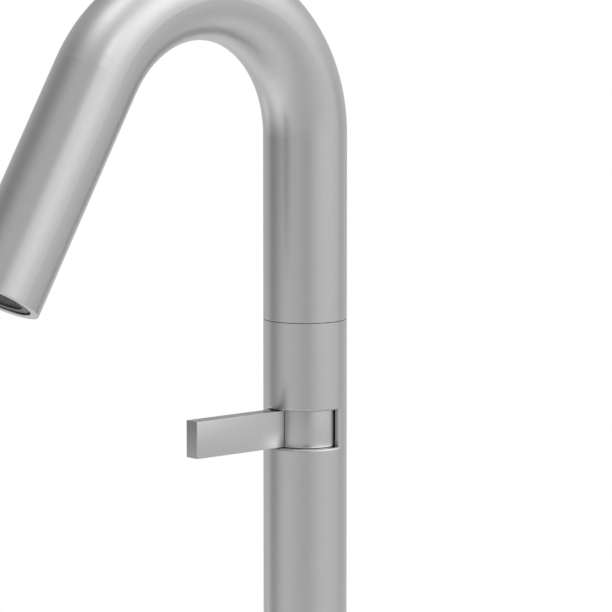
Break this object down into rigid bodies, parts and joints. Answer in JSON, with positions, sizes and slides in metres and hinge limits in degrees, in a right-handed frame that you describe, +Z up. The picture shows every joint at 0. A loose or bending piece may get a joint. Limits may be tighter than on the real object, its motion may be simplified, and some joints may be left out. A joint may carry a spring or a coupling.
{
  "type": "bathroom sink faucet",
  "caption": "Tall round single-lever sink mixer: gooseneck spout that swivels on its column, and a flat bar lever that turns sideways in a window of the column.",
  "frame": {"origin": "on the column's axis, in the plane of the deck that the base flange stands on", "axes": "+Z up the column, -Y the way the spout and the closed lever point, +X the side the lever opens to"},
  "size_m": [0.048, 0.1991, 0.3693],
  "materials": {
    "satin_steel": "fine satin-brushed stainless steel",
    "plain_steel": "plain turned or stamped stainless steel",
    "brass": "machined, unplated brass",
    "ceramic": "lapped alumina",
    "black_rubber": "matt black rubber",
    "slide_plastic": "black low-friction plastic",
    "pale_plastic": "moulded off-white plastic",
    "dark_plastic": "moulded dark grey plastic"
  },
  "bodies": {
    "column_and_base": {"base_flange": "satin_steel", "base_gasket": "black_rubber", "base_screw": "plain_steel", "mounting_stud": "plain_steel", "clamp_rubber": "black_rubber", "clamp_plate": "plain_steel", "clamp_nut": "plain_steel", "column": "satin_steel", "spacer_sleeve": "brass", "valve_body": "brass", "valve_body_o_ring": "black_rubber", "port_seals": "black_rubber", "cartridge_base": "pale_plastic", "fixed_disc": "ceramic", "cartridge_housing": "pale_plastic", "stem_o_rings": "black_rubber", "retaining_nut": "brass", "chamber_cover": "brass", "cover_o_ring": "black_rubber", "snap_ring": "plain_steel", "riser_tube": "plain_steel", "riser_o_rings": "black_rubber", "lower_slide_washer": "slide_plastic", "upper_slide_washer": "slide_plastic", "spout_seat": "brass", "seat_o_rings": "black_rubber", "slide_rings": "slide_plastic", "thrust_ring": "slide_plastic"},
    "lever": {"lever_drum": "satin_steel", "lever_bar": "satin_steel", "lever_screw": "plain_steel", "drum_screw": "plain_steel", "stem": "brass", "disc_carrier": "pale_plastic", "moving_disc": "ceramic"},
    "spout": {"spout_tube": "satin_steel", "spout_collar": "brass", "stop_screw": "plain_steel", "aerator_housing": "dark_plastic", "aerator_grid": "dark_plastic", "diffuser_disc": "pale_plastic", "flow_regulator": "pale_plastic", "aerator_seal": "black_rubber"}
  },
  "joints": [
    {"name": "lever_turn", "type": "hinge", "parent": "column_and_base", "child": "lever", "pos_m": [0, 0, 0.1], "axis": [0, 0, 1], "range_deg": [0, 90]},
    {"name": "spout_swivel", "type": "hinge", "parent": "column_and_base", "child": "spout", "pos_m": [0, 0, 0.16], "axis": [0, 0, 1], "range_deg": [-60, 60]}
  ]
}
